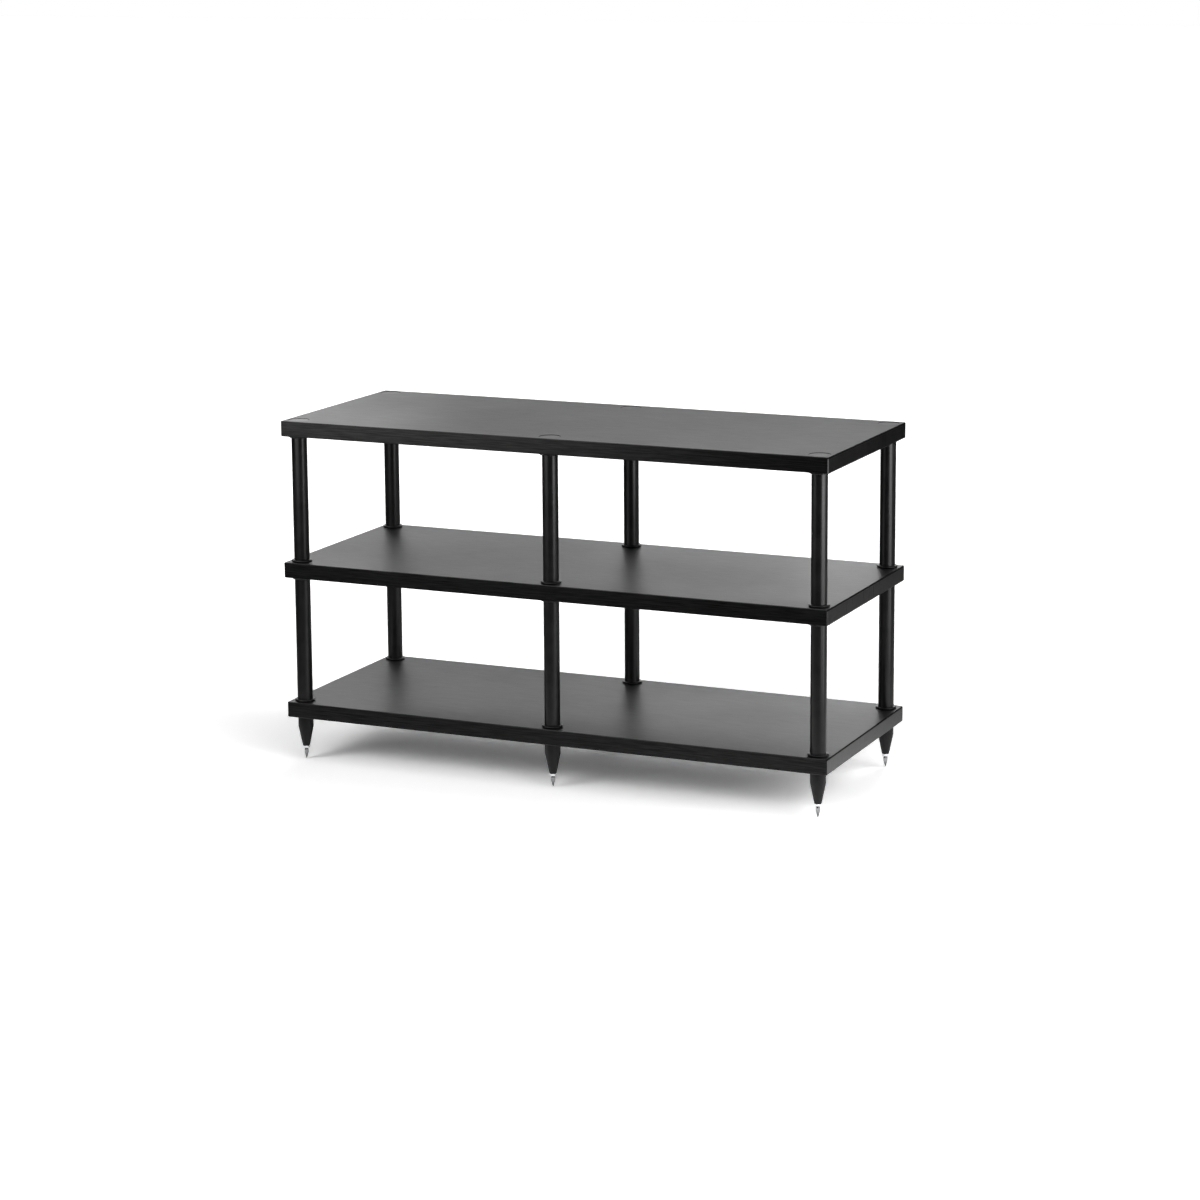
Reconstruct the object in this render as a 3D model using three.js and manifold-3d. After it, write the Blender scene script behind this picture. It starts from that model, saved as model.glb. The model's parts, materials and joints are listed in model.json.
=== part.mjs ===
// Audio equipment rack with two bays and three levels.
// Three thick boards are held apart by six lines of screwed columns, which stand on tapered feet with spikes.
// Millimetres, +Z up, +X to the right of someone who faces the front, the front faces -Y.
// The origin is on the floor, under the middle of the rack.

import * as THREE from 'three';
import { mergeVertices } from 'three/addons/utils/BufferGeometryUtils.js';
import Module from 'manifold-3d';

// Boards
const boardWidth = 1120;
const boardDepth = 430;
const boardThickness = 30;
const boardEdgeRadius = 1.2;
const boardCornerRadius = 2;
const bayHeight = 248;

// Columns, which stand on a flange with a stud and end in a flange with a threaded socket
const tubeDiameter = 30;
const tubeWall = 2;
const flangeDiameter = 40;
const flangeHeight = 4;
const flangeChamfer = 0.8;
const flangeMargin = 6;
const socketDepth = 24;
const spigotLength = 14;
const spigotChamfer = 1;

// Threads, all of one size, drawn at their outer diameter
const threadDiameter = 8;
const threadReach = 16;
const threadChamfer = 0.9;

// Clearances
const threadClearance = 0.3;
const seatClearance = 0.3;
const holeClearance = 0.5;
const cutOverrun = 1;

// Fixings of the top board, under cover discs that sit just below its surface
const discThickness = 2.4;
const discRecess = 0.6;
const discChamfer = 0.4;
const screwHeadDiameter = 13;
const screwHeadHeight = 5;
const hexKeySize = 5;
const hexKeyDepth = 2.8;

// Tapered feet
const footHeight = 61;
const footStraightHeight = 22;
const footToeDiameter = 14;
const footToeRadius = 1.5;
const footTopChamfer = 0.6;

// Lock nuts
const nutAcrossFlats = 13;
const nutHeight = 4;
const nutChamfer = 0.5;

// Spikes, from the point up: cone, straight body and threaded shank
const spikeTipDiameter = 0.8;
const spikeConeHeight = 13.5;
const spikeDiameter = 8.4;
const spikeBodyHeight = 5;
const spikeBareThread = 4.5;
const shankInFootShare = 0.55;

// Facets round a turned piece
const columnFacets = 16;
const threadFacets = 12;
const boreFacets = 16;
const arcSteps = 3;

// Heights of the seats, from the floor up
const lockNutBase = spikeConeHeight + spikeBodyHeight + spikeBareThread;
const footBase = lockNutBase + nutHeight;
const bottomBoardBase = footBase + footHeight;
const levelPitch = boardThickness + bayHeight;
const boardBases = [bottomBoardBase, bottomBoardBase + levelPitch, bottomBoardBase + 2 * levelPitch];

// Plan of the six column lines
const lineX = boardWidth / 2 - flangeDiameter / 2 - flangeMargin;
const lineY = boardDepth / 2 - flangeDiameter / 2 - flangeMargin;
const lines = [
  { name: 'front_left', x: -lineX, y: -lineY },
  { name: 'front_middle', x: 0, y: -lineY },
  { name: 'front_right', x: lineX, y: -lineY },
  { name: 'back_left', x: -lineX, y: lineY },
  { name: 'back_middle', x: 0, y: lineY },
  { name: 'back_right', x: lineX, y: lineY },
];

// Radii that several pieces share
const tubeRadius = tubeDiameter / 2;
const tubeBoreRadius = tubeRadius - tubeWall;
const flangeRadius = flangeDiameter / 2;
const threadRadius = threadDiameter / 2;
const socketRadius = threadRadius + threadClearance;
const boardHoleRadius = threadRadius + holeClearance;

// Materials
const laminate = { color: 0x151516, roughness: 0.42, metalness: 0 };
const tubePaint = { color: 0x0d0d0e, roughness: 0.36, metalness: 0.1 };
const flangePaint = { color: 0x101011, roughness: 0.3, metalness: 0.1 };
const footPaint = { color: 0x131314, roughness: 0.4, metalness: 0.1 };
const discPlastic = { color: 0x1c1c1e, roughness: 0.45, metalness: 0 };
const zincSteel = { color: 0x9c9ea2, roughness: 0.35, metalness: 1 };
const chrome = { color: 0xd4d6da, roughness: 0.12, metalness: 1 };

const wasm = await Module();
wasm.setup();

// Boolean work on closed meshes

function closed(geometry) {
  const bare = geometry.clone();
  bare.deleteAttribute('normal');
  bare.deleteAttribute('uv');
  return mergeVertices(bare);
}

function toManifold(geometry) {
  const merged = closed(geometry);
  return new wasm.Manifold(new wasm.Mesh({
    numProp: 3,
    vertProperties: new Float32Array(merged.attributes.position.array),
    triVerts: new Uint32Array(merged.index.array),
  }));
}

function toGeometry(manifold) {
  const mesh = manifold.getMesh();
  const geometry = new THREE.BufferGeometry();
  geometry.setAttribute('position', new THREE.BufferAttribute(new Float32Array(mesh.vertProperties), 3));
  geometry.setIndex(new THREE.BufferAttribute(new Uint32Array(mesh.triVerts), 1));
  geometry.computeVertexNormals();
  return geometry;
}

// Shapes on a vertical axis: a turned profile of [radius, height] pairs, a rod and a hexagonal bar

function turned(profile, facets) {
  const points = profile.map(([radius, height]) => new THREE.Vector2(radius, height));
  const geometry = closed(new THREE.LatheGeometry(points, facets));
  geometry.rotateX(Math.PI / 2);
  geometry.computeVertexNormals();
  return geometry;
}

function rod(radius, base, top, facets) {
  return turned([[0, base], [radius, base], [radius, top], [0, top]], facets);
}

function hexCornerRadius(acrossFlats) {
  return acrossFlats / 2 / Math.cos(Math.PI / 6);
}

function hexBar(acrossFlats, base, top) {
  return rod(hexCornerRadius(acrossFlats), base, top, 6);
}

function quarterArc(centreRadius, centreHeight, radius, fromAngle) {
  return Array.from({ length: arcSteps + 1 }, (unused, step) => {
    const angle = fromAngle + (Math.PI / 2) * (step / arcSteps);
    return [centreRadius + radius * Math.cos(angle), centreHeight + radius * Math.sin(angle)];
  });
}

// Boards: a slab with softened edges, drilled for the studs of the six lines

function boardSlab() {
  const halfWidth = boardWidth / 2 - boardEdgeRadius;
  const halfDepth = boardDepth / 2 - boardEdgeRadius;
  const corner = boardCornerRadius - boardEdgeRadius;
  const outline = new THREE.Shape();
  outline.absarc(halfWidth - corner, halfDepth - corner, corner, 0, Math.PI / 2);
  outline.absarc(corner - halfWidth, halfDepth - corner, corner, Math.PI / 2, Math.PI);
  outline.absarc(corner - halfWidth, corner - halfDepth, corner, Math.PI, 1.5 * Math.PI);
  outline.absarc(halfWidth - corner, corner - halfDepth, corner, 1.5 * Math.PI, 2 * Math.PI);
  const slab = new THREE.ExtrudeGeometry(outline, {
    depth: boardThickness - 2 * boardEdgeRadius,
    curveSegments: arcSteps,
    bevelThickness: boardEdgeRadius,
    bevelSize: boardEdgeRadius,
    bevelSegments: arcSteps - 1,
  });
  return slab.translate(0, 0, boardEdgeRadius);
}

function drilledBoard(drillProfile) {
  const drill = turned(drillProfile, boreFacets);
  let board = toManifold(boardSlab());
  for (const line of lines) {
    board = board.subtract(toManifold(drill.clone().translate(line.x, line.y, 0)));
  }
  return toGeometry(board);
}

// Under each cover disc the top board has a stepped pocket for the screw
const discRadius = flangeRadius;
const discSeat = boardThickness - discRecess - discThickness;
const screwHeadTop = discSeat - holeClearance;
const screwHeadSeat = screwHeadTop - screwHeadHeight;

function throughBoard() {
  const below = -cutOverrun;
  const above = boardThickness + cutOverrun;
  return drilledBoard([[0, below], [boardHoleRadius, below], [boardHoleRadius, above], [0, above]]);
}

function topBoard() {
  const below = -cutOverrun;
  const above = boardThickness + cutOverrun;
  const pocketRadius = screwHeadDiameter / 2 + holeClearance;
  const discSeatRadius = discRadius + seatClearance;
  return drilledBoard([
    [0, below],
    [boardHoleRadius, below],
    [boardHoleRadius, screwHeadSeat],
    [pocketRadius, screwHeadSeat],
    [pocketRadius, discSeat],
    [discSeatRadius, discSeat],
    [discSeatRadius, above],
    [0, above],
  ]);
}

// Column: a tube that ends in the upper flange, with the threaded socket behind it.
// Heights count from the underside of the lower flange, which stands on the board.
const columnTop = bayHeight;

function column() {
  const flangeBase = columnTop - flangeHeight;
  const socketBase = columnTop - socketDepth;
  return turned([
    [tubeBoreRadius, flangeHeight],
    [tubeRadius, flangeHeight],
    [tubeRadius, flangeBase],
    [flangeRadius - flangeChamfer, flangeBase],
    [flangeRadius, flangeBase + flangeChamfer],
    [flangeRadius, columnTop],
    [socketRadius, columnTop],
    [socketRadius, socketBase],
    [tubeBoreRadius, socketBase],
    [tubeBoreRadius, flangeHeight],
  ], columnFacets);
}

// Lower flange: a spigot centres it in the tube, and its stud goes down through the board
function flange() {
  const studBase = -boardThickness - threadReach;
  const spigotRadius = tubeBoreRadius - seatClearance;
  const spigotTop = flangeHeight + spigotLength;
  return turned([
    [0, studBase],
    [threadRadius - threadChamfer, studBase],
    [threadRadius, studBase + threadChamfer],
    [threadRadius, 0],
    [flangeRadius, 0],
    [flangeRadius, flangeHeight - flangeChamfer],
    [flangeRadius - flangeChamfer, flangeHeight],
    [spigotRadius, flangeHeight],
    [spigotRadius, spigotTop - spigotChamfer],
    [spigotRadius - spigotChamfer, spigotTop],
    [0, spigotTop],
  ], columnFacets);
}

// Cover disc, let into the top board. Heights count from its seat.
function coverDisc() {
  return turned([
    [0, 0],
    [discRadius, 0],
    [discRadius, discThickness - discChamfer],
    [discRadius - discChamfer, discThickness],
    [0, discThickness],
  ], columnFacets);
}

// Socket screw that pulls the top board down on the upper column. Heights count from the seat of its head.
function topScrew() {
  const tip = -screwHeadSeat - threadReach;
  const headRadius = screwHeadDiameter / 2;
  const blank = turned([
    [0, tip],
    [threadRadius - threadChamfer, tip],
    [threadRadius, tip + threadChamfer],
    [threadRadius, 0],
    [headRadius, 0],
    [headRadius, screwHeadHeight - threadChamfer],
    [headRadius - threadChamfer, screwHeadHeight],
    [0, screwHeadHeight],
  ], threadFacets);
  const keyHole = hexBar(hexKeySize, screwHeadHeight - hexKeyDepth, screwHeadHeight + cutOverrun);
  return toGeometry(toManifold(blank).subtract(toManifold(keyHole)));
}

// Foot: straight under the board, then tapered to a rounded toe, with one threaded bore right through it.
// Heights count from the toe.
function foot() {
  const topRadius = tubeRadius;
  const toeRadius = footToeDiameter / 2;
  const taperTop = footHeight - footStraightHeight;
  return turned([
    ...quarterArc(toeRadius - footToeRadius, footToeRadius, footToeRadius, -Math.PI / 2),
    [topRadius, taperTop],
    [topRadius, footHeight - footTopChamfer],
    [topRadius - footTopChamfer, footHeight],
    [socketRadius, footHeight],
    [socketRadius, 0],
    [toeRadius - footToeRadius, 0],
  ], columnFacets);
}

// Thin lock nut, a hexagon with its corners turned off on both faces. Heights count from its underside.
function lockNut() {
  const flatRadius = nutAcrossFlats / 2;
  const cornerExcess = hexCornerRadius(nutAcrossFlats) - flatRadius;
  const turnedBlank = turned([
    [0, 0],
    [flatRadius, 0],
    [flatRadius + 2 * cornerExcess, 2 * nutChamfer],
    [flatRadius + 2 * cornerExcess, nutHeight - 2 * nutChamfer],
    [flatRadius, nutHeight],
    [0, nutHeight],
  ], threadFacets);
  const bore = rod(socketRadius, -cutOverrun, nutHeight + cutOverrun, threadFacets);
  const hexagon = toManifold(hexBar(nutAcrossFlats, 0, nutHeight));
  return toGeometry(hexagon.intersect(toManifold(turnedBlank)).subtract(toManifold(bore)));
}

// Spike: a sharp cone under a straight body, and a threaded shank that screws into the foot
const shankInFoot = (footHeight - threadReach) * shankInFootShare;

function spike() {
  const tipRadius = spikeTipDiameter / 2;
  const bodyRadius = spikeDiameter / 2;
  const bodyTop = spikeConeHeight + spikeBodyHeight;
  const shankTop = footBase + shankInFoot;
  return turned([
    [0, 0],
    [tipRadius, 0],
    [bodyRadius, spikeConeHeight],
    [bodyRadius, bodyTop],
    [threadRadius, bodyTop],
    [threadRadius, shankTop - threadChamfer],
    [threadRadius - threadChamfer, shankTop],
    [0, shankTop],
  ], threadFacets);
}

// Assembly
const rack = new THREE.Group();

function addPiece(name, geometry, finish, x, y, z) {
  const piece = new THREE.Mesh(geometry, new THREE.MeshStandardMaterial(finish));
  piece.name = name;
  piece.position.set(x, y, z);
  rack.add(piece);
}

const [bottomBase, middleBase, topBase] = boardBases;
const boardTop = (base) => base + boardThickness;

addPiece('bottom_shelf', throughBoard(), laminate, 0, 0, bottomBase);
addPiece('middle_shelf', throughBoard(), laminate, 0, 0, middleBase);
addPiece('top_shelf', topBoard(), laminate, 0, 0, topBase);

for (const { name, x, y } of lines) {
  addPiece(`lower_flange_${name}`, flange(), flangePaint, x, y, boardTop(bottomBase));
  addPiece(`lower_column_${name}`, column(), tubePaint, x, y, boardTop(bottomBase));
  addPiece(`upper_flange_${name}`, flange(), flangePaint, x, y, boardTop(middleBase));
  addPiece(`upper_column_${name}`, column(), tubePaint, x, y, boardTop(middleBase));
  addPiece(`top_screw_${name}`, topScrew(), zincSteel, x, y, topBase + screwHeadSeat);
  addPiece(`cover_disc_${name}`, coverDisc(), discPlastic, x, y, topBase + discSeat);
  addPiece(`foot_${name}`, foot(), footPaint, x, y, footBase);
  addPiece(`lock_nut_${name}`, lockNut(), chrome, x, y, lockNutBase);
  addPiece(`spike_${name}`, spike(), chrome, x, y, 0);
}

export default rack;
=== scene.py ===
import json
from math import atan2, cos, hypot, pi, radians, sin

import bmesh
import bpy
from mathutils import Matrix, Vector

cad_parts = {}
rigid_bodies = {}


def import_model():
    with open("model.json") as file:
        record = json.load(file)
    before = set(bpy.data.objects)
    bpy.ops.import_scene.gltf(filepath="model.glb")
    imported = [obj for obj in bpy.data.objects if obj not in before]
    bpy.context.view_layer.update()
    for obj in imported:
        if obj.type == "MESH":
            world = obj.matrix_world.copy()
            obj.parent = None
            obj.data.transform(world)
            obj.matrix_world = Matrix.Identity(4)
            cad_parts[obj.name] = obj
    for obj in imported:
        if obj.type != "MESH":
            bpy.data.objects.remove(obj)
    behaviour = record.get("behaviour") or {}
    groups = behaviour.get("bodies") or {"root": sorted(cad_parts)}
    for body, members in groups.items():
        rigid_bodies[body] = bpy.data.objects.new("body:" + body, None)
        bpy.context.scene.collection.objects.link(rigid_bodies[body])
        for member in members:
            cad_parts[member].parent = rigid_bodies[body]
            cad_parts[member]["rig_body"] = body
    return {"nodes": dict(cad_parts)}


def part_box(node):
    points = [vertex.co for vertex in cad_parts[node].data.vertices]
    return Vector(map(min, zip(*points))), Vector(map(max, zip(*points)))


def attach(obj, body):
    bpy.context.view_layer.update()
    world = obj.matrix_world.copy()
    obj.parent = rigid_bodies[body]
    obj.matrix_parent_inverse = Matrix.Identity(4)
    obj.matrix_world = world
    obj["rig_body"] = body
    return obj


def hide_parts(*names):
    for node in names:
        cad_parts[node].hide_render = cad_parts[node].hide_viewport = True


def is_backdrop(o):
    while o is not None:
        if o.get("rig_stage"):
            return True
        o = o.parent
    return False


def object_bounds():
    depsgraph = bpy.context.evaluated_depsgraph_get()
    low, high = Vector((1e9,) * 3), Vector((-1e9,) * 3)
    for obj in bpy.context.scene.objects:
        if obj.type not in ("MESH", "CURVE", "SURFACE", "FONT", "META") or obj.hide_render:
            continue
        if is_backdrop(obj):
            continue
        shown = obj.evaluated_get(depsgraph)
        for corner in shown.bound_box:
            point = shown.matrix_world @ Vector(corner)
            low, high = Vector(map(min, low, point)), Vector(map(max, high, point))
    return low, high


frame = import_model()
cad_low, cad_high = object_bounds()


# Camera
# It stands to the right of the rack and a little above it, as in the photograph, with a long lens.
# The small shift keeps the columns as upright as they are there.

camera_place = Vector((2.4445, -5.4138, 1.6239))
camera_azimuth = radians(24.150)
camera_elevation = radians(10.153)
camera_roll = radians(-0.393)
camera_lens = 94.26
camera_shift = -0.1

bpy.ops.object.select_all(action="DESELECT")
bpy.ops.object.camera_add()
camera = bpy.context.object
camera.name = "camera"
camera.data.sensor_width = 36
camera.data.lens = camera_lens
camera.data.shift_y = camera_shift
camera.data.clip_start = 0.1
camera.data.clip_end = 200
camera.matrix_world = (
    Matrix.Translation(camera_place)
    @ Matrix.Rotation(camera_azimuth, 4, "Z")
    @ Matrix.Rotation(pi / 2 - camera_elevation, 4, "X")
    @ Matrix.Rotation(camera_roll, 4, "Z")
)
bpy.context.scene.camera = camera
bpy.context.scene.view_settings.view_transform = "Standard"


# Studio
# A white floor that runs on into a white background, and seven wide suns that throw a soft shadow. In
# reflections the room is dark, apart from softboxes and a ring of painted light round the rack and three
# painted pools of light in the floor's colour, so that the black boards and columns keep their depth.

room_dark = 0.03
sun_spread = radians(32)
suns = {
    "right_sun": (90, 45, 0.228),
    "right_front_sun": (60, 28, 0.134),
    "right_back_sun": (120, 12, 0.101),
    "near_front_sun": (30, 28, 0.060),
    "front_sun": (-30, 45, 0.112),
    "low_front_sun": (-30, 28, 0.168),
    "back_sun": (180, 28, 0.198),
}
softboxes = {
    "back_softbox_low_left": ((-1.8, 2.2, 0.65), (90, 180), (1.6, 0.3), 2.3),
    "back_softbox_low_middle": ((-0.7, 2.2, 0.65), (90, 180), (0.6, 0.3), 3.8),
    "back_softbox_low_right": ((0, 2.2, 0.65), (90, 180), (0.8, 0.3), 5.8),
    "back_softbox_middle": ((-1.3, 2.2, 1.3), (90, 180), (0.6, 0.4), 1.7),
    "back_softbox_high_left": ((-2.1, 2.2, 1.75), (90, 180), (1, 0.5), 8),
    "back_softbox_high_right": ((-0.3, 2.2, 1.75), (90, 180), (1.4, 0.5), 4.2),
    "right_softbox_low": ((1.45, -0.7, 0.185), (90, 90), (0.3, 0.33), 3.1),
    "right_softbox_front": ((1.45, -0.575, 0.525), (90, 90), (0.55, 0.35), 6.3),
    "right_softbox_tall": ((1.45, -0.15, 0.76), (90, 90), (0.3, 1.48), 3.4),
    "right_softbox_back": ((1.45, 0.5, 0.875), (90, 90), (0.4, 0.35), 9),
    "front_softbox": ((-0.8, -1.3, 0.755), (90, 0), (0.4, 0.69), 1.95),
    "front_softbox_low": ((-0.4, -1.3, 0.555), (90, 0), (0.4, 0.29), 1.75),
    "left_softbox": ((-1, -1.05, 0.8), (90, -90), (0.4, 0.4), 9),
    "front_softbox_high_left": ((-3.2, -3.2, 1.7), (90, 0), (2, 0.9), 1),
    "front_softbox_high_right": ((2.3, -3.2, 1.7), (90, 0), (4, 0.9), 1),
    "left_softbox_high": ((-2.6, 0, 1.35), (90, -90), (1.4, 0.9), 0.8),
    "top_softbox": ((-0.4, -0.4, 2.6), (0, 0), (3, 2.8), 1.8),
}
floor_seen = 1.5
floor_bounce = 0.6
# Painted light in the floor's colour, seen only in reflections: a ring round the rack and three pools.
painted_ring_light = 1.26
ring_inside = {"X": 0.53, "Y": 0.19}
ring_width = 0.24
painted_light_pools = [
    ((0.85, 0.35, 0), 0.35, 0.58),
    ((1.30, 1.40, 0), 0.50, 0.31),
    ((0.30, -0.55, 0), 0.30, 0.55),
]


def add_node(tree, kind, settings=None, **inputs):
    """Adds a shader node. Inputs are values or sockets, with underscores for the spaces in their names."""
    made = tree.nodes.new("ShaderNode" + kind)
    for name, value in (settings or {}).items():
        setattr(made, name, value)
    for name, value in inputs.items():
        socket = made.inputs[name.replace("_", " ")]
        if isinstance(value, bpy.types.NodeSocket):
            tree.links.new(value, socket)
        else:
            socket.default_value = value
    return made


def add_math(tree, operation, first, second=0.0, third=0.0):
    """Adds a Math node and returns its result."""
    made = tree.nodes.new("ShaderNodeMath")
    made.operation = operation
    for socket, value in zip(made.inputs, (first, second, third)):
        if isinstance(value, bpy.types.NodeSocket):
            tree.links.new(value, socket)
        else:
            socket.default_value = value
    return made.outputs[0]


def add_range(tree, value, low, high, to_low, to_high, kind="SMOOTHSTEP"):
    """Maps a value from one range to another and returns the result. The ends may be sockets."""
    made = add_node(tree, "MapRange", {"interpolation_type": kind}, Value=value)
    for name, end in zip(("From Min", "From Max", "To Min", "To Max"), (low, high, to_low, to_high)):
        if isinstance(end, bpy.types.NodeSocket):
            tree.links.new(end, made.inputs[name])
        else:
            made.inputs[name].default_value = end
    return made.outputs["Result"]


world = bpy.data.worlds.new("studio")
world.use_nodes = True
world.cycles.sampling_method = "NONE"
bpy.context.scene.world = world
tree = world.node_tree
tree.nodes.clear()
path = add_node(tree, "LightPath")
level = add_math(tree, "MULTIPLY", path.outputs["Is Glossy Ray"], room_dark)
seen = add_math(tree, "MAXIMUM", path.outputs["Is Camera Ray"], path.outputs["Is Transmission Ray"])
level = add_range(tree, seen, 0, 1, level, 1, "LINEAR")
background = add_node(tree, "Background", Color=(1, 1, 1, 1), Strength=level)
add_node(tree, "OutputWorld", Surface=background.outputs[0])

for name, (turned, height, share) in suns.items():
    bpy.ops.object.light_add(type="SUN", rotation=(pi / 2 - radians(height), 0, radians(turned)))
    lamp = bpy.context.object
    lamp.name = name
    lamp.data.energy = share * pi / sin(radians(height))
    lamp.data.angle = sun_spread
    lamp.visible_glossy = False

for name, (place, (tilt, turned), (width, height), brightness) in softboxes.items():
    bpy.ops.object.light_add(type="AREA", location=place, rotation=(radians(tilt), 0, radians(turned)))
    lamp = bpy.context.object
    lamp.name = name
    lamp.data.shape = "RECTANGLE"
    lamp.data.size = width
    lamp.data.size_y = height
    lamp.data.energy = brightness * pi * width * height
    lamp.visible_camera = False
    lamp.visible_diffuse = False

bpy.ops.object.select_all(action="DESELECT")
bpy.ops.mesh.primitive_plane_add(size=80, location=(0, 0, cad_low.z))
floor = bpy.context.object
floor.name = "floor"
paper = bpy.data.materials.new("white_paper")
paper.use_nodes = True
paper.node_tree.nodes.clear()
tree = paper.node_tree
path = add_node(tree, "LightPath")
place = add_node(tree, "NewGeometry").outputs["Position"]
parts = add_node(tree, "SeparateXYZ", Vector=place)
beyond = []
for name, reach in ring_inside.items():
    past = add_math(tree, "SUBTRACT", add_math(tree, "ABSOLUTE", parts.outputs[name]), reach)
    beyond.append(add_math(tree, "POWER", add_math(tree, "MAXIMUM", past, 0), 2))
spread = add_math(tree, "DIVIDE", add_math(tree, "ADD", beyond[0], beyond[1]), ring_width ** 2)
# Painted light: in reflections the floor's tone is raised in a ring round the rack and in three pools.
painted_light_tone = add_math(tree, "DIVIDE", painted_ring_light, add_math(tree, "ADD", spread, 1))
for middle, radius, strength in painted_light_pools:
    away = add_node(tree, "VectorMath", {"operation": "DISTANCE"})
    tree.links.new(place, away.inputs[0])
    away.inputs[1].default_value = middle
    spread = add_math(tree, "POWER", add_math(tree, "DIVIDE", away.outputs["Value"], radius), 2)
    pool = add_math(tree, "DIVIDE", strength, add_math(tree, "ADD", spread, 1))
    painted_light_tone = add_math(tree, "ADD", painted_light_tone, pool)
tone = add_range(tree, path.outputs["Is Glossy Ray"], 0, 1, floor_bounce, painted_light_tone, "LINEAR")
tone = add_range(tree, path.outputs["Is Camera Ray"], 0, 1, tone, floor_seen, "LINEAR")
color = add_node(tree, "CombineColor", Red=tone, Green=tone, Blue=tone)
matt = add_node(tree, "BsdfDiffuse", Color=color.outputs[0])
add_node(tree, "OutputMaterial", Surface=matt.outputs[0])
floor.data.materials.append(paper)
floor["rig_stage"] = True


# Boards
# Three boards of 30 mm fibreboard with satin black wood-grain laminate on both faces and a band of it on
# each edge. At the short sides a dark joint shows under the upper face. The edges are chamfered. The
# boards are drilled for the studs, and the top one has stepped pockets for the screws and their discs.

board_edge = 0.0011
board_corner = 0.0020
joint_depth = 0.0030
stud_hole_radius = 0.0045
screw_pocket_radius = 0.007
disc_seat_radius = 0.0203
disc_pocket_depth = 0.003
screw_head_seat = 0.0215
drill_overrun = 0.001
grain_long = (24, 260, 260)
grain_band = (16, 400, 400)
grain_cross = (360, 360, 20)
laminate_darkest = 0.001
pore_depth = 0.6
blue_share = 1.03
face_is_flat = 0.95


def near(value, target, slack=2e-6):
    """Whether a value is the target, give or take a little."""
    return abs(value - target) < slack


def select_where(piece, kind, test):
    """In edit mode, selects the edges or faces whose corners all pass the test."""
    mode = {"edges": "EDGE", "faces": "FACE"}[kind]
    bpy.ops.mesh.select_mode(type=mode)
    bpy.ops.mesh.select_all(action="DESELECT")
    shape = bmesh.from_edit_mesh(piece.data)
    for element in getattr(shape, kind):
        element.select_set(all(test(corner.co) for corner in element.verts))
    shape.select_flush_mode()
    bmesh.update_edit_mesh(piece.data)


def soften_edges(piece, test, width, segments):
    """Bevels the edges whose two ends pass the test: flat with one segment, round with more."""
    select_where(piece, "edges", test)
    bpy.ops.mesh.bevel(offset=width, offset_type="OFFSET", segments=segments, affect="EDGES")


def finish_piece(piece, name, material, smooth_angle=radians(40)):
    """Names a finished piece, gives it its material and smooths it, with flat faces kept flat."""
    piece.name = name
    piece.data.name = name
    piece.data.materials.append(material)
    bpy.ops.object.select_all(action="DESELECT")
    piece.select_set(True)
    bpy.context.view_layer.objects.active = piece
    bpy.ops.object.shade_smooth_by_angle(angle=smooth_angle)
    bpy.ops.object.modifier_add(type="WEIGHTED_NORMAL")
    piece.modifiers[-1].keep_sharp = True
    bpy.ops.object.modifier_apply(modifier=piece.modifiers[-1].name)


def cut(piece, tool, operation="DIFFERENCE"):
    """Cuts a piece with a tool, which is then taken away."""
    bpy.ops.object.select_all(action="DESELECT")
    piece.select_set(True)
    bpy.context.view_layer.objects.active = piece
    bpy.ops.object.modifier_add(type="BOOLEAN")
    modifier = piece.modifiers[-1]
    modifier.object = tool
    modifier.operation = operation
    modifier.solver = "EXACT"
    bpy.ops.object.modifier_apply(modifier=modifier.name)
    bpy.data.objects.remove(tool)


def turn(outline, sides):
    """Turns a piece on the vertical axis through the origin. The outline is a list of (radius, height).
    A ring at its first point is extruded and scaled to each next one. It closes on the axis or on itself,
    and stays in edit mode."""
    on_axis = outline[0][0] == 0
    rings = [point for point in outline if point[0] > 0]
    bpy.ops.object.select_all(action="DESELECT")
    bpy.ops.mesh.primitive_circle_add(
        vertices=sides,
        radius=rings[0][0],
        location=(0, 0, rings[0][1]),
        fill_type="NGON" if on_axis else "NOTHING",
    )
    piece = bpy.context.object
    bpy.ops.object.transform_apply(location=True, rotation=True, scale=True)
    bpy.ops.object.mode_set(mode="EDIT")
    bpy.ops.mesh.select_all(action="SELECT")
    for (radius, height), (next_radius, next_height) in zip(rings, rings[1:]):
        rise = (0, 0, next_height - height)
        share = next_radius / radius
        bpy.ops.mesh.extrude_region_move(TRANSFORM_OT_translate={"value": rise})
        bpy.ops.transform.resize(value=(share, share, 1), center_override=(0, 0, next_height))
    bpy.ops.mesh.select_all(action="SELECT")
    bpy.ops.mesh.remove_doubles(threshold=1e-7)
    bpy.ops.mesh.normals_make_consistent(inside=False)
    return piece


def drill_board(board, x, y, outline):
    """Drills a board at one column line."""
    drill = turn(outline, sides=48)
    bpy.ops.object.mode_set(mode="OBJECT")
    drill.data.transform(Matrix.Translation((x, y, 0)))
    cut(board, drill)


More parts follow.
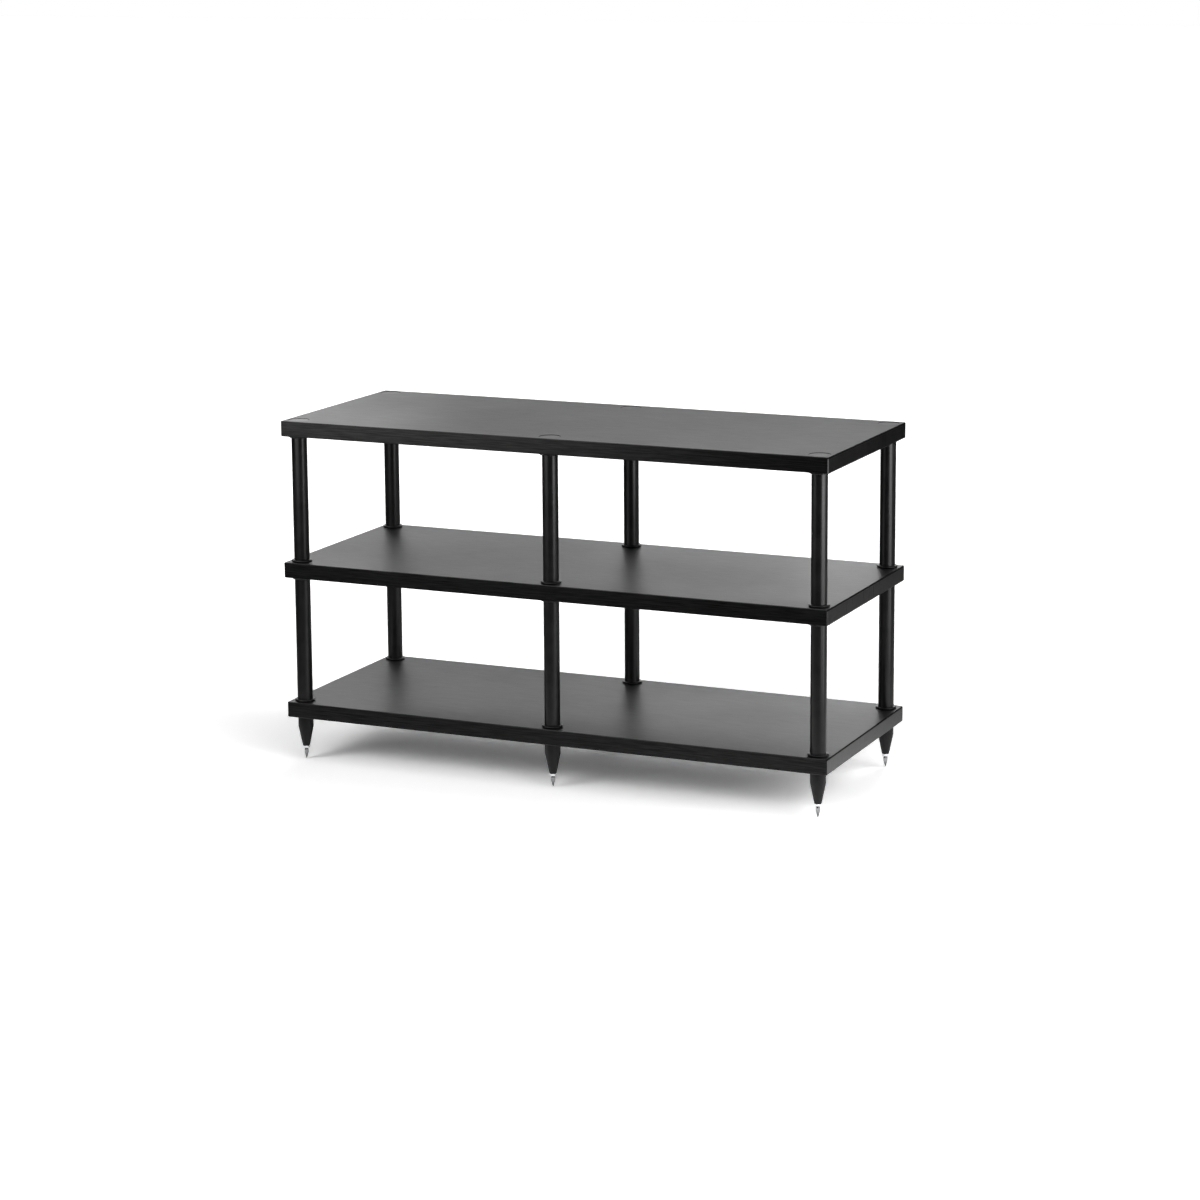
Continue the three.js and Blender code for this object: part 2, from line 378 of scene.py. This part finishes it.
def grain_group():
    """Wood grain pressed into laminate: long streaks and short pores, drawn out along the board."""
    group = bpy.data.node_groups.new("laminate_grain", "ShaderNodeTree")
    group.interface.new_socket("Vector", in_out="INPUT", socket_type="NodeSocketVector")
    group.interface.new_socket("Stretch", in_out="INPUT", socket_type="NodeSocketVector")
    group.interface.new_socket("Streaks", in_out="OUTPUT", socket_type="NodeSocketFloat")
    group.interface.new_socket("Pores", in_out="OUTPUT", socket_type="NodeSocketFloat")
    group.interface.new_socket("Clouds", in_out="OUTPUT", socket_type="NodeSocketFloat")
    given = group.nodes.new("NodeGroupInput")
    result = group.nodes.new("NodeGroupOutput")
    drawn = add_node(group, "VectorMath", {"operation": "MULTIPLY"})
    group.links.new(given.outputs["Vector"], drawn.inputs[0])
    group.links.new(given.outputs["Stretch"], drawn.inputs[1])
    streaks = add_node(
        group, "TexNoise", Vector=drawn.outputs[0], Scale=1, Detail=6, Roughness=0.62, Distortion=0.3
    )
    pores = add_node(group, "TexNoise", Vector=drawn.outputs[0], Scale=4.2, Detail=2, Roughness=0.5)
    clouds = add_node(group, "TexNoise", Vector=given.outputs["Vector"], Scale=3.1, Detail=3, Roughness=0.5)
    pits = add_range(group, pores.outputs["Fac"], 0.52, 0.68, 0, 1)
    group.links.new(streaks.outputs["Fac"], result.inputs["Streaks"])
    group.links.new(pits, result.inputs["Pores"])
    group.links.new(clouds.outputs["Fac"], result.inputs["Clouds"])
    return group


def new_material(name):
    """Starts a material and returns it with its tree and its Principled shader."""
    material = bpy.data.materials.new(name)
    material.use_nodes = True
    material.node_tree.nodes.clear()
    tree = material.node_tree
    shader = add_node(tree, "BsdfPrincipled")
    add_node(tree, "OutputMaterial", Surface=shader.outputs[0])
    return material, tree, shader


def color_grey(tree, shader, shade):
    """Gives a shader a grey with a touch of blue."""
    blue = add_math(tree, "MULTIPLY", shade, blue_share)
    color = add_node(tree, "CombineColor", Red=shade, Green=shade, Blue=blue)
    tree.links.new(color.outputs[0], shader.inputs["Base Color"])


grain = grain_group()


def laminate(name, stretch, lightest, smooth, rough, specular, relief_depth, coat_weights=None):
    """Black laminate, its grain drawn out by the given stretch, between two roughnesses. A clear coat is
    given by its weight between the streaks and on them."""
    material, tree, shader = new_material(name)
    place = add_node(tree, "TexCoord").outputs["Object"]
    wood = add_node(tree, "Group", {"node_tree": grain}, Vector=place, Stretch=stretch)
    shade = add_range(tree, wood.outputs["Streaks"], 0.38, 0.62, laminate_darkest, lightest)
    in_pores = add_math(tree, "MULTIPLY_ADD", wood.outputs["Pores"], -pore_depth, 1)
    color_grey(tree, shader, add_math(tree, "MULTIPLY", shade, in_pores))
    cloudy = add_range(tree, wood.outputs["Clouds"], 0.3, 0.7, -0.02, 0.02)
    streaky = add_range(tree, wood.outputs["Streaks"], 0.3, 0.7, smooth, rough)
    tree.links.new(add_math(tree, "ADD", cloudy, streaky), shader.inputs["Roughness"])
    relief = add_math(tree, "MULTIPLY_ADD", wood.outputs["Pores"], -pore_depth, wood.outputs["Streaks"])
    bump = add_node(tree, "Bump", Strength=0.5, Distance=relief_depth, Height=relief)
    tree.links.new(bump.outputs["Normal"], shader.inputs["Normal"])
    shader.inputs["Specular IOR Level"].default_value = specular
    if coat_weights:
        between, on_streaks = coat_weights
        weight = add_range(tree, wood.outputs["Streaks"], 0.35, 0.65, between, on_streaks)
        tree.links.new(weight, shader.inputs["Coat Weight"])
        shader.inputs["Coat Roughness"].default_value = (smooth + rough) / 2
    return material


face_laminate = laminate(
    "black_laminate",
    grain_long,
    lightest=0.006,
    smooth=0.39,
    rough=0.44,
    specular=0.4,
    relief_depth=0.00002,
)
long_band = laminate(
    "black_edge_band_long",
    grain_band,
    lightest=0.004,
    smooth=0.27,
    rough=0.41,
    specular=0.08,
    relief_depth=0.0001,
    coat_weights=(0.29, 0.59),
)
short_band = laminate(
    "black_edge_band_short",
    grain_cross,
    lightest=0.005,
    smooth=0.27,
    rough=0.41,
    specular=0.08,
    relief_depth=0.0001,
    coat_weights=(0.42, 0.58),
)
band_joint = laminate(
    "dark_band_joint",
    grain_cross,
    lightest=0.002,
    smooth=0.60,
    rough=0.75,
    specular=0.1,
    relief_depth=0.00002,
)
board_materials = (face_laminate, long_band, short_band, band_joint)
long_at, short_at, joint_at = 1, 2, 3
line_names = ("front_left", "front_middle", "front_right", "back_left", "back_middle", "back_right")

for level in ("bottom", "middle", "top"):
    low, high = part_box(level + "_shelf")
    bpy.ops.object.select_all(action="DESELECT")
    bpy.ops.mesh.primitive_cube_add(size=1, location=(low + high) / 2, scale=high - low)
    board = bpy.context.object
    bpy.ops.object.transform_apply(location=True, rotation=True, scale=True)
    bpy.ops.object.mode_set(mode="EDIT")
    shape = bmesh.from_edit_mesh(board.data)
    bpy.ops.mesh.select_mode(type="EDGE")
    bpy.ops.mesh.select_all(action="DESELECT")
    for edge in shape.edges:
        ends = [corner.co for corner in edge.verts]
        edge.select_set(near(ends[0].x, ends[1].x) and near(ends[0].y, ends[1].y))
    bmesh.update_edit_mesh(board.data)
    bpy.ops.mesh.bevel(offset=board_corner, offset_type="OFFSET", segments=1, affect="EDGES")
    for face_height in (low.z, high.z):
        soften_edges(board, lambda corner: near(corner.z, face_height), board_edge, segments=1)
    bpy.ops.mesh.select_all(action="SELECT")
    bpy.ops.mesh.bisect(plane_co=(0, 0, high.z - joint_depth), plane_no=(0, 0, 1))
    bpy.ops.object.mode_set(mode="OBJECT")
    below = low.z - drill_overrun
    above = high.z + drill_overrun
    if level == "top":
        seat = low.z + screw_head_seat
        disc_seat = high.z - disc_pocket_depth
        outline = [
            (0, below),
            (stud_hole_radius, below),
            (stud_hole_radius, seat),
            (screw_pocket_radius, seat),
            (screw_pocket_radius, disc_seat),
            (disc_seat_radius, disc_seat),
            (disc_seat_radius, above),
            (0, above),
        ]
    else:
        outline = [(0, below), (stud_hole_radius, below), (stud_hole_radius, above), (0, above)]
    for line in line_names:
        foot_low, foot_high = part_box("foot_" + line)
        middle = (foot_low + foot_high) / 2
        drill_board(board, middle.x, middle.y, outline)
    finish_piece(board, level + "_board", face_laminate)
    for band_material in board_materials[long_at:]:
        board.data.materials.append(band_material)
    for face in board.data.polygons:
        to_side, to_front, to_top = (abs(share) for share in face.normal)
        spot = face.center
        from_edge = min(spot.x - low.x, high.x - spot.x, spot.y - low.y, high.y - spot.y)
        if to_top > face_is_flat:
            continue
        if from_edge > board_corner:
            face.material_index = joint_at
        elif to_front > to_side:
            face.material_index = long_at
        elif spot.z > high.z - joint_depth:
            face.material_index = joint_at
        else:
            face.material_index = short_at
    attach(board, "rack_frame")
    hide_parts(level + "_shelf")


# Columns
# Six lines of steel tube, 30 mm across, powder coated black. At the upper end of each tube sits a flange
# with a threaded socket behind it; the lower end is open and stands on the flange below.

tube_radius = 0.015
tube_bore_radius = 0.013
flange_radius = 0.020
flange_height = 0.004
flange_flat_radius = 0.017
rim_steps = 12
socket_radius = 0.0043
socket_depth = 0.024
thread_radius = 0.004
tube_edge = 0.0003
ring_slack = 0.00002


def ring_at(radius, height):
    """A test for the corners of the ring at that radius and height."""
    return lambda corner: near(corner.z, height) and near(hypot(corner.x, corner.y), radius, ring_slack)


def rim_outline(base):
    """The round rim of a flange, from its lower face to its upper one."""
    points = []
    for step in range(rim_steps + 1):
        slope = pi * step / rim_steps - pi / 2
        radius = flange_flat_radius + (flange_radius - flange_flat_radius) * cos(slope)
        points.append((radius, base + flange_height / 2 * (1 + sin(slope))))
    return points


def set_copies(master, kind, new_kind):
    """Sets a copy of a finished piece in the place of each CAD node of its kind, on the same body."""
    for name, node in sorted(frame["nodes"].items()):
        if name.rsplit("_", 2)[0] != kind:
            continue
        low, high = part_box(name)
        place = Vector(((low.x + high.x) / 2, (low.y + high.y) / 2, low.z))
        piece = master.copy()
        piece.data = master.data.copy()
        piece.name = name.replace(kind, new_kind)
        piece.data.name = piece.name
        piece.data.transform(Matrix.Translation(place))
        bpy.context.scene.collection.objects.link(piece)
        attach(piece, node["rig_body"])
        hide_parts(name)


def coat_group():
    """Powder coat: the fine orange peel of a baked paint and its slight change of gloss."""
    group = bpy.data.node_groups.new("powder_coat", "ShaderNodeTree")
    group.interface.new_socket("Vector", in_out="INPUT", socket_type="NodeSocketVector")
    group.interface.new_socket("Peel Scale", in_out="INPUT", socket_type="NodeSocketFloat")
    group.interface.new_socket("Peel", in_out="OUTPUT", socket_type="NodeSocketFloat")
    group.interface.new_socket("Gloss", in_out="OUTPUT", socket_type="NodeSocketFloat")
    given = group.nodes.new("NodeGroupInput")
    result = group.nodes.new("NodeGroupOutput")
    peel = add_node(
        group,
        "TexNoise",
        Vector=given.outputs["Vector"],
        Scale=given.outputs["Peel Scale"],
        Detail=2,
        Roughness=0.4,
    )
    gloss = add_node(group, "TexNoise", Vector=given.outputs["Vector"], Scale=38, Detail=3, Roughness=0.55)
    group.links.new(peel.outputs["Fac"], result.inputs["Peel"])
    group.links.new(gloss.outputs["Fac"], result.inputs["Gloss"])
    return group


coat = coat_group()


def painted(name, dark, light, smooth, rough, specular, peel_scale, peel_depth):
    """Black paint between two shades and two roughnesses."""
    material, tree, shader = new_material(name)
    place = add_node(tree, "TexCoord").outputs["Object"]
    skin = add_node(tree, "Group", {"node_tree": coat}, Vector=place, Peel_Scale=peel_scale)
    color_grey(tree, shader, add_range(tree, skin.outputs["Gloss"], 0.35, 0.65, dark, light))
    roughness = add_range(tree, skin.outputs["Gloss"], 0.3, 0.7, smooth, rough)
    tree.links.new(roughness, shader.inputs["Roughness"])
    bump = add_node(tree, "Bump", Strength=0.4, Distance=peel_depth, Height=skin.outputs["Peel"])
    tree.links.new(bump.outputs["Normal"], shader.inputs["Normal"])
    shader.inputs["Specular IOR Level"].default_value = specular
    return material


column_paint = painted(
    "satin_black_powder_coat",
    dark=0.003,
    light=0.006,
    smooth=0.30,
    rough=0.34,
    specular=0.5,
    peel_scale=900,
    peel_depth=0.000003,
)

low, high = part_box("lower_column_front_left")
tube_top = high.z - low.z
tube = turn(
    [
        (tube_bore_radius, 0),
        (tube_radius, 0),
        (tube_radius, tube_top - flange_height),
        *rim_outline(tube_top - flange_height),
        (socket_radius, tube_top),
        (socket_radius, tube_top - socket_depth),
        (tube_bore_radius, tube_top - socket_depth),
        (tube_bore_radius, 0),
    ],
    sides=96,
)
soften_edges(tube, ring_at(tube_radius, 0), tube_edge, segments=2)
bpy.ops.object.mode_set(mode="OBJECT")
finish_piece(tube, "tube", column_paint)
set_copies(tube, "lower_column", "lower_post")
set_copies(tube, "upper_column", "upper_post")
bpy.data.objects.remove(tube)


# Lower flanges
# Turned from steel and painted black: a ring that stands on the board, a spigot that centres the tube,
# and a threaded stud that goes down through the board into the piece below.

spigot_radius = 0.0127
spigot_length = 0.014
spigot_edge = 0.001
thread_pitch = 0.00125
thread_depth = 0.00077
steps_in_a_pitch = 6


def cut_thread(piece, low, high):
    """In edit mode, turns the plain shank between two heights into a right-hand thread."""
    def on_shank(corner):
        on_surface = near(hypot(corner.x, corner.y), thread_radius, ring_slack)
        return on_surface and low - 1e-6 < corner.z < high + 1e-6

    select_where(piece, "edges", on_shank)
    shape = bmesh.from_edit_mesh(piece.data)
    for edge in shape.edges:
        if edge.select and near(edge.verts[0].co.z, edge.verts[1].co.z):
            edge.select_set(False)
    bmesh.update_edit_mesh(piece.data)
    steps = round((high - low) / thread_pitch * steps_in_a_pitch)
    bpy.ops.mesh.subdivide(number_cuts=steps - 1)
    shape = bmesh.from_edit_mesh(piece.data)
    for corner in shape.verts:
        spot = corner.co
        if not on_shank(spot):
            continue
        turns = (spot.z - low) / thread_pitch - atan2(spot.y, spot.x) / (2 * pi)
        into_groove = abs(2 * (turns % 1) - 1)
        run_in = min(1, (spot.z - low) / thread_pitch, (high - spot.z) / thread_pitch)
        share = 1 - thread_depth * into_groove * run_in / thread_radius
        spot.x *= share
        spot.y *= share
    bmesh.update_edit_mesh(piece.data)


flange_paint = painted(
    "satin_black_flange_paint",
    dark=0.002,
    light=0.005,
    smooth=0.34,
    rough=0.40,
    specular=0.35,
    peel_scale=1100,
    peel_depth=0.000004,
)

low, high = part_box("lower_flange_front_left")
ring_base = high.z - low.z - spigot_length - flange_height
flange = turn(
    [
        (0, 0),
        (thread_radius - thread_depth, 0),
        (thread_radius, thread_depth),
        (thread_radius, ring_base),
        *rim_outline(ring_base),
        (spigot_radius, ring_base + flange_height),
        (spigot_radius, high.z - low.z),
        (0, high.z - low.z),
    ],
    sides=64,
)
cut_thread(flange, thread_depth, ring_base)
soften_edges(flange, ring_at(spigot_radius, high.z - low.z), spigot_edge, segments=2)
bpy.ops.object.mode_set(mode="OBJECT")
finish_piece(flange, "flange", flange_paint)
set_copies(flange, "lower_flange", "lower_collar")
set_copies(flange, "upper_flange", "upper_collar")
bpy.data.objects.remove(flange)


# Screws of the top board
# Low socket screws, zinc plated, in the pockets of the top board. They go through it into the sockets
# of the upper columns and are hidden under the cover discs.

screw_head_radius = 0.0065
screw_head_height = 0.005
hex_key_size = 0.005
hex_key_depth = 0.0028
screw_edge = 0.0005
# Painted shade at the spike's tip: the share of the steel's colour that is left there.
painted_tip_shade = 0.2


def metal_group():
    """Turned metal: fine rings left by the tool, one above another, and the cloudiness of the plating."""
    group = bpy.data.node_groups.new("turned_metal", "ShaderNodeTree")
    group.interface.new_socket("Vector", in_out="INPUT", socket_type="NodeSocketVector")
    group.interface.new_socket("Rings", in_out="OUTPUT", socket_type="NodeSocketFloat")
    group.interface.new_socket("Clouds", in_out="OUTPUT", socket_type="NodeSocketFloat")
    given = group.nodes.new("NodeGroupInput")
    result = group.nodes.new("NodeGroupOutput")
    drawn = add_node(group, "VectorMath", {"operation": "MULTIPLY"})
    group.links.new(given.outputs["Vector"], drawn.inputs[0])
    drawn.inputs[1].default_value = (40, 40, 5200)
    rings = add_node(group, "TexNoise", Vector=drawn.outputs[0], Scale=1, Detail=2, Roughness=0.6)
    clouds = add_node(group, "TexNoise", Vector=given.outputs["Vector"], Scale=420, Detail=3, Roughness=0.5)
    group.links.new(rings.outputs["Fac"], result.inputs["Rings"])
    group.links.new(clouds.outputs["Fac"], result.inputs["Clouds"])
    return group


turned_metal = metal_group()


def plated(name, dark, light, smooth, rough, ring_depth, rim_tint=1, painted_shade_below=0):
    """Plated steel between two shades and two roughnesses. The rim tint darkens what turns away from the
    eye, and below the given height its colour takes a painted shade, darker towards the floor."""
    material, tree, shader = new_material(name)
    shader.inputs["Metallic"].default_value = 1
    shader.inputs["Specular Tint"].default_value = (rim_tint, rim_tint, rim_tint, 1)
    place = add_node(tree, "TexCoord").outputs["Object"]
    skin = add_node(tree, "Group", {"node_tree": turned_metal}, Vector=place)
    shade = add_range(tree, skin.outputs["Clouds"], 0.35, 0.65, dark, light)
    # Painted shade: below that height the colour darkens towards the floor, for the floor's shadow mirrored
    # in the cone.
    if painted_shade_below:
        height = add_node(tree, "SeparateXYZ", Vector=place).outputs["Z"]
        shade = add_math(tree, "MULTIPLY", shade, add_range(tree, height, 0, painted_shade_below, painted_tip_shade, 1))
    color_grey(tree, shader, shade)
    roughness = add_range(tree, skin.outputs["Clouds"], 0.3, 0.7, smooth, rough)
    tree.links.new(roughness, shader.inputs["Roughness"])
    bump = add_node(tree, "Bump", Strength=0.3, Distance=ring_depth, Height=skin.outputs["Rings"])
    tree.links.new(bump.outputs["Normal"], shader.inputs["Normal"])
    return material


zinc = plated("zinc_plated_steel", dark=0.42, light=0.56, smooth=0.28, rough=0.40, ring_depth=0.00001)

low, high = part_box("top_screw_front_left")
screw_top = high.z - low.z
head_base = screw_top - screw_head_height
screw = turn(
    [
        (0, 0),
        (thread_radius - thread_depth, 0),
        (thread_radius, thread_depth),
        (thread_radius, head_base),
        (screw_head_radius, head_base),
        (screw_head_radius, screw_top),
        (0, screw_top),
    ],
    sides=48,
)
cut_thread(screw, thread_depth, head_base)
soften_edges(screw, ring_at(screw_head_radius, screw_top), screw_edge, segments=3)
bpy.ops.object.mode_set(mode="OBJECT")
hex_key_corner = hex_key_size / 2 / cos(pi / 6)
key_hole = turn(
    [
        (0, screw_top - hex_key_depth),
        (hex_key_corner, screw_top - hex_key_depth),
        (hex_key_corner, screw_top + drill_overrun),
        (0, screw_top + drill_overrun),
    ],
    sides=6,
)
bpy.ops.object.mode_set(mode="OBJECT")
cut(screw, key_hole)
finish_piece(screw, "screw", zinc)
set_copies(screw, "top_screw", "board_screw")
bpy.data.objects.remove(screw)


# Cover discs
# Flat discs of matt black plastic that press into the top board over the screws. They sit just below
# its surface, so that a fine dark ring shows round each.

disc_edge = 0.0004
disc_drop = 0.0002
disc_shades = (0.001, 0.003)
disc_roughnesses = (0.38, 0.44)
disc_specular = 0.75

disc_plastic, tree, shader = new_material("matt_black_disc_plastic")
place = add_node(tree, "TexCoord").outputs["Object"]
speckle = add_node(tree, "TexNoise", Vector=place, Scale=1600, Detail=2, Roughness=0.5)
color_grey(tree, shader, add_range(tree, speckle.outputs["Fac"], 0.35, 0.65, *disc_shades))
roughness = add_range(tree, speckle.outputs["Fac"], 0.3, 0.7, *disc_roughnesses)
tree.links.new(roughness, shader.inputs["Roughness"])
bump = add_node(tree, "Bump", Strength=0.3, Distance=0.00002, Height=speckle.outputs["Fac"])
tree.links.new(bump.outputs["Normal"], shader.inputs["Normal"])
shader.inputs["Specular IOR Level"].default_value = disc_specular

low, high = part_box("cover_disc_front_left")
disc_radius = (high.x - low.x) / 2
disc_top = high.z - low.z - disc_drop
disc = turn([(0, 0), (disc_radius, 0), (disc_radius, disc_top), (0, disc_top)], sides=96)
soften_edges(disc, ring_at(disc_radius, disc_top), disc_edge, segments=3)
bpy.ops.object.mode_set(mode="OBJECT")
finish_piece(disc, "disc", disc_plastic)
set_copies(disc, "cover_disc", "flush_disc")
bpy.data.objects.remove(disc)


# Feet
# Turned and painted black: straight under the board, then tapered to a rounded toe. One threaded bore
# goes right through, for the stud of the flange above and the spike below.

foot_straight = 0.022
toe_radius = 0.007
toe_rounding = 0.0015
foot_top_edge = 0.0006

foot_paint = painted(
    "satin_black_foot_paint",
    dark=0.002,
    light=0.005,
    smooth=0.40,
    rough=0.48,
    specular=0.27,
    peel_scale=1300,
    peel_depth=0.00001,
)

low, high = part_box("foot_front_left")
foot_height = high.z - low.z
foot = turn(
    [
        (socket_radius, 0),
        (toe_radius, 0),
        (tube_radius, foot_height - foot_straight),
        (tube_radius, foot_height),
        (socket_radius, foot_height),
        (socket_radius, 0),
    ],
    sides=96,
)
soften_edges(foot, ring_at(toe_radius, 0), toe_rounding, segments=5)
soften_edges(foot, ring_at(tube_radius, foot_height), foot_top_edge, segments=2)
bpy.ops.object.mode_set(mode="OBJECT")
finish_piece(foot, "foot", foot_paint)
set_copies(foot, "foot", "tapered_foot")
bpy.data.objects.remove(foot)


# Lock nuts
# Thin hexagon nuts, bright plated, with the corners turned off on both faces. Each runs on the thread
# of its spike and is tightened against the toe of the foot.

nut_chamfer = 0.0005
nut_smooth_angle = radians(25)

bright = plated("bright_chrome", dark=0.88, light=0.95, smooth=0.14, rough=0.22, ring_depth=0.000006)

low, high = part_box("lock_nut_front_left")
nut_height = high.z - low.z
flat_radius = (high.x - low.x) / 2
corner_radius = flat_radius / cos(pi / 6)
corner_excess = corner_radius - flat_radius
nut = turn([(0, 0), (corner_radius, 0), (corner_radius, nut_height), (0, nut_height)], sides=6)
bpy.ops.object.mode_set(mode="OBJECT")
blank = turn(
    [
        (0, 0),
        (flat_radius, 0),
        (flat_radius + 2 * corner_excess, 2 * nut_chamfer),
        (flat_radius + 2 * corner_excess, nut_height - 2 * nut_chamfer),
        (flat_radius, nut_height),
        (0, nut_height),
    ],
    sides=72,
)
bpy.ops.object.mode_set(mode="OBJECT")
cut(nut, blank, "INTERSECT")
bore = turn(
    [
        (0, -drill_overrun),
        (socket_radius, -drill_overrun),
        (socket_radius, nut_height + drill_overrun),
        (0, nut_height + drill_overrun),
    ],
    sides=48,
)
bpy.ops.object.mode_set(mode="OBJECT")
cut(nut, bore)
finish_piece(nut, "nut", bright, nut_smooth_angle)
set_copies(nut, "lock_nut", "thin_nut")
bpy.data.objects.remove(nut)


# Spikes
# Turned from bright steel: a sharp cone under a straight body, and a long threaded shank that screws
# into the foot, to level the rack.

cone_height = 0.0135
body_radius = 0.0042
body_height = 0.005
tip_radius = 0.0004
body_edge = 0.0002

# The spike's steel carries a painted shade towards its tip.
steel = plated(
    "polished_steel",
    dark=0.30,
    light=0.38,
    smooth=0.10,
    rough=0.18,
    ring_depth=0.000006,
    rim_tint=0.1,
    painted_shade_below=0.018,
)

low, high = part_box("spike_front_left")
body_top = cone_height + body_height
shank_top = high.z - low.z
spike = turn(
    [
        (0, 0),
        (tip_radius, 0),
        (body_radius, cone_height),
        (body_radius, body_top),
        (thread_radius, body_top),
        (thread_radius, shank_top - thread_depth),
        (thread_radius - thread_depth, shank_top),
        (0, shank_top),
    ],
    sides=64,
)
cut_thread(spike, body_top, shank_top - thread_depth)
soften_edges(spike, ring_at(body_radius, cone_height), body_edge, segments=3)
bpy.ops.object.mode_set(mode="OBJECT")
finish_piece(spike, "spike", steel)
set_copies(spike, "spike", "threaded_spike")
bpy.data.objects.remove(spike)


# The box of the finished rack is taken.

low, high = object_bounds()
